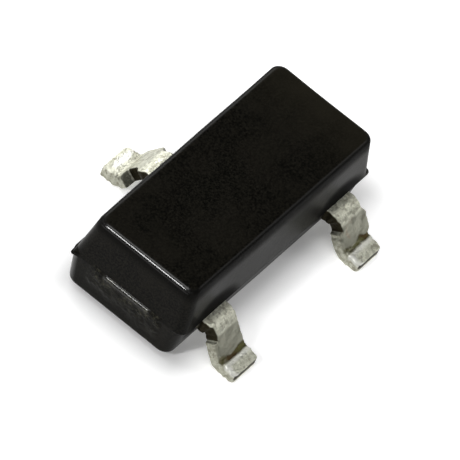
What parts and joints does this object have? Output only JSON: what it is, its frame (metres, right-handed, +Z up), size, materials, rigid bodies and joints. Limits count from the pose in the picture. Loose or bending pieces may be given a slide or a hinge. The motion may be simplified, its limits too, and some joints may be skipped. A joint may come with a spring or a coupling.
{
  "type": "surface mount transistor",
  "caption": "Small surface-mount transistor: black moulded body with gull-wing leads on two sides, a silicon die and its bond wires closed inside.",
  "frame": {"origin": "centre of the part on the board surface, level with the undersides of the feet", "axes": "+X along the body towards the emitter lead's end, +Y across the body towards the single collector lead, +Z up away from the board"},
  "size_m": [0.0029, 0.0022, 0.0009],
  "materials": {
    "moulded_epoxy": "near-black filled epoxy, satin",
    "tinned_lead": "matte tin over copper alloy, grainy",
    "silicon": "polished dark grey silicon",
    "die_bond": "silver-filled adhesive, dull",
    "gold_wire": "bright drawn gold"
  },
  "bodies": {
    "root": {"moulded_body": "moulded_epoxy", "base_lead": "tinned_lead", "emitter_lead": "tinned_lead", "collector_lead": "tinned_lead", "silicon_die": "silicon", "die_attach": "die_bond", "base_wire": "gold_wire", "emitter_wire": "gold_wire"}
  },
  "joints": []
}
